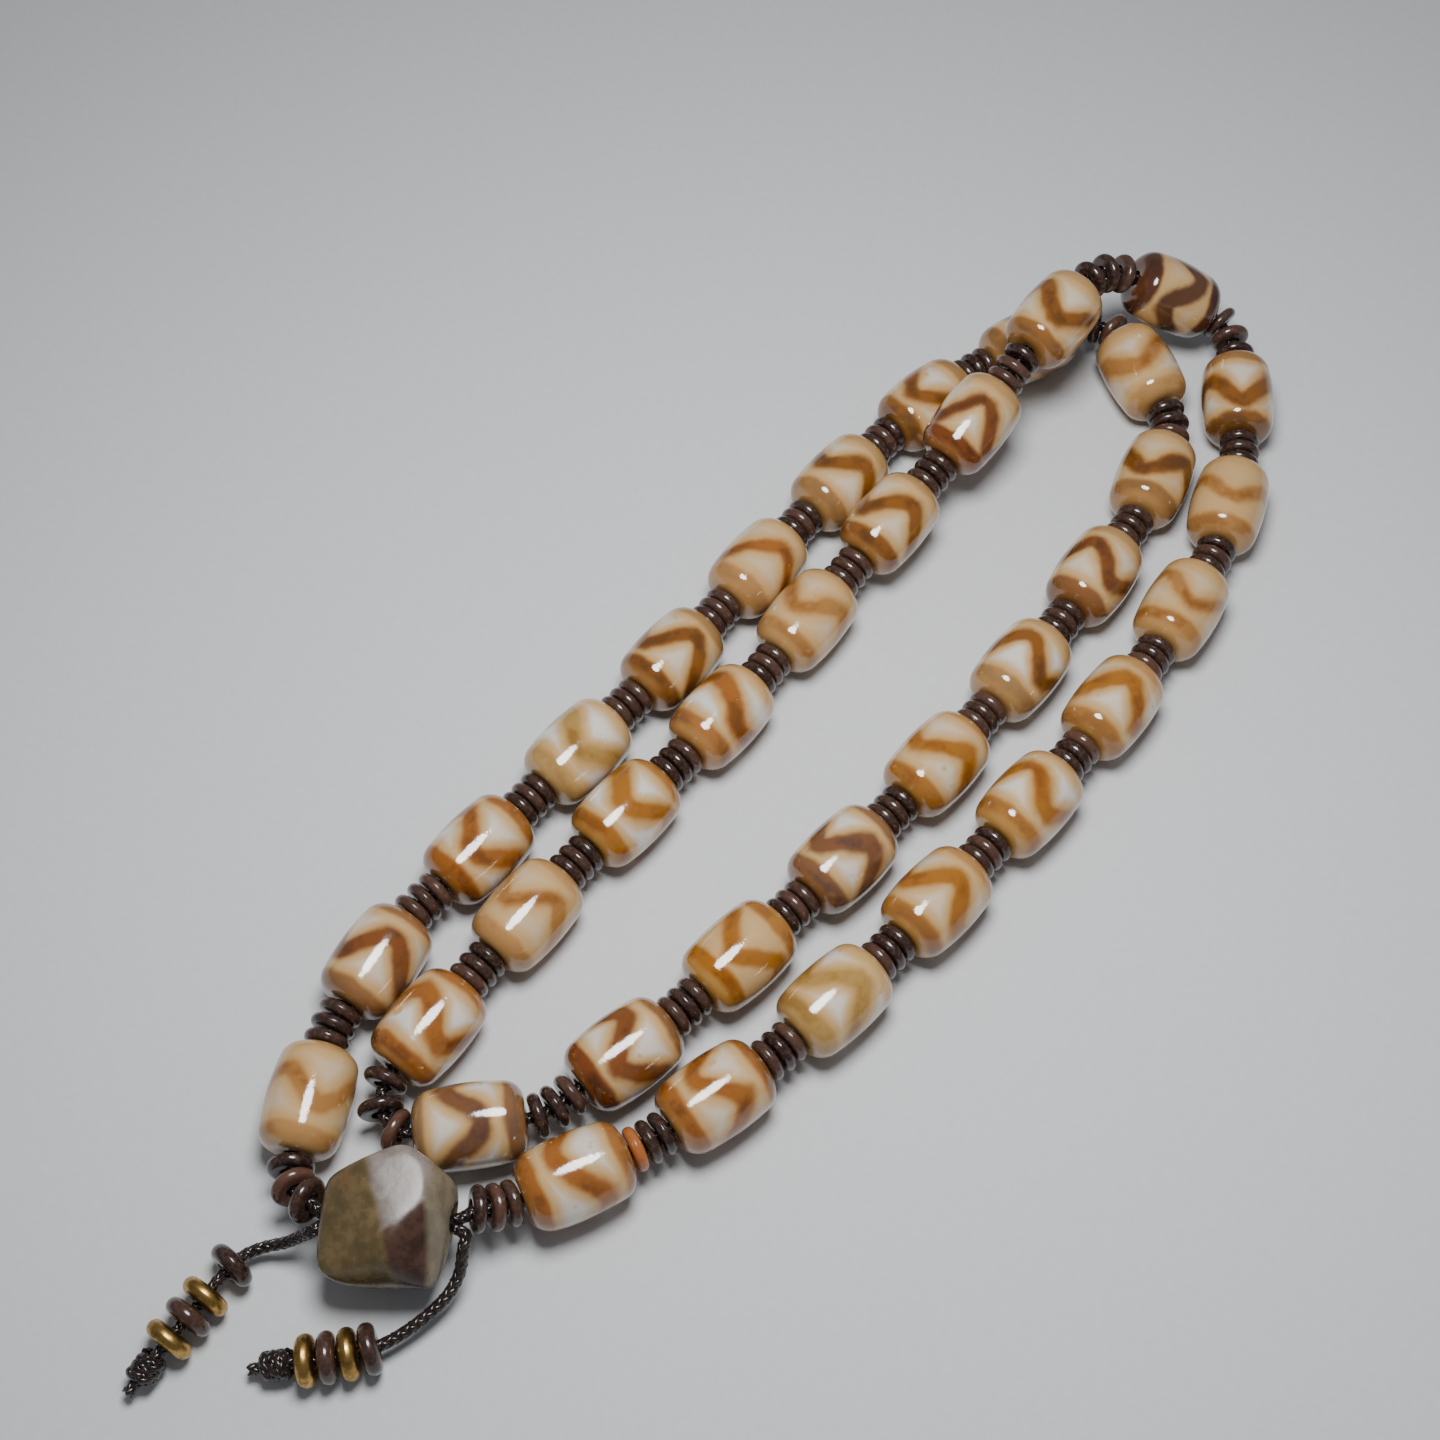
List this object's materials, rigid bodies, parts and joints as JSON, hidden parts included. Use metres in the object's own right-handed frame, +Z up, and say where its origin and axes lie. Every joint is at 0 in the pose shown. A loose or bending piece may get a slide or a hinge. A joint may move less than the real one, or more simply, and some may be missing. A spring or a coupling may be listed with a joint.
{
  "type": "dzi bead necklace",
  "caption": "Long strand of banded agate dzi beads with brown spacer discs, closed by a faceted guru bead with two knotted disc tails, lying in a double loop.",
  "frame": {"origin": "on the table under the middle of the laid loop's outline, the tails left out of account", "axes": "+Z up from the table, +Y along the laid loop away from the guru bead, +X to the right of that"},
  "size_m": [0.0596, 0.202, 0.0199],
  "materials": {
    "banded_agate": "polished amber and cream banded agate",
    "guru_agate": "polished taupe and ochre agate with worn facets",
    "brown_disc": "polished dark coconut shell",
    "antique_brass": "satin antique brass",
    "braided_cord": "round braided cord with a pearly sheen"
  },
  "bodies": {
    "root": {"dzi_bead_01": "banded_agate", "dzi_bead_02": "banded_agate", "dzi_bead_03": "banded_agate", "dzi_bead_04": "banded_agate", "dzi_bead_05": "banded_agate", "dzi_bead_06": "banded_agate", "dzi_bead_07": "banded_agate", "dzi_bead_08": "banded_agate", "dzi_bead_09": "banded_agate", "dzi_bead_10": "banded_agate", "dzi_bead_11": "banded_agate", "dzi_bead_12": "banded_agate", "dzi_bead_13": "banded_agate", "dzi_bead_14": "banded_agate", "dzi_bead_15": "banded_agate", "dzi_bead_16": "banded_agate", "dzi_bead_17": "banded_agate", "dzi_bead_18": "banded_agate", "dzi_bead_19": "banded_agate", "dzi_bead_20": "banded_agate", "dzi_bead_21": "banded_agate", "dzi_bead_22": "banded_agate", "dzi_bead_23": "banded_agate", "dzi_bead_24": "banded_agate", "dzi_bead_25": "banded_agate", "dzi_bead_26": "banded_agate", "dzi_bead_27": "banded_agate", "dzi_bead_28": "banded_agate", "dzi_bead_29": "banded_agate", "dzi_bead_30": "banded_agate", "dzi_bead_31": "banded_agate", "dzi_bead_32": "banded_agate", "dzi_bead_33": "banded_agate", "dzi_bead_34": "banded_agate", "dzi_bead_35": "banded_agate", "dzi_bead_36": "banded_agate", "guru_bead": "guru_agate", "spacer_discs_first_turn": "brown_disc", "spacer_discs_second_turn": "brown_disc", "string": "braided_cord", "tail_cord_left": "braided_cord", "tail_cord_right": "braided_cord", "tail_discs_brown_left": "brown_disc", "tail_discs_brown_right": "brown_disc", "tail_discs_brass_left": "antique_brass", "tail_discs_brass_right": "antique_brass", "tail_knot_left": "braided_cord", "tail_knot_right": "braided_cord"}
  },
  "joints": []
}
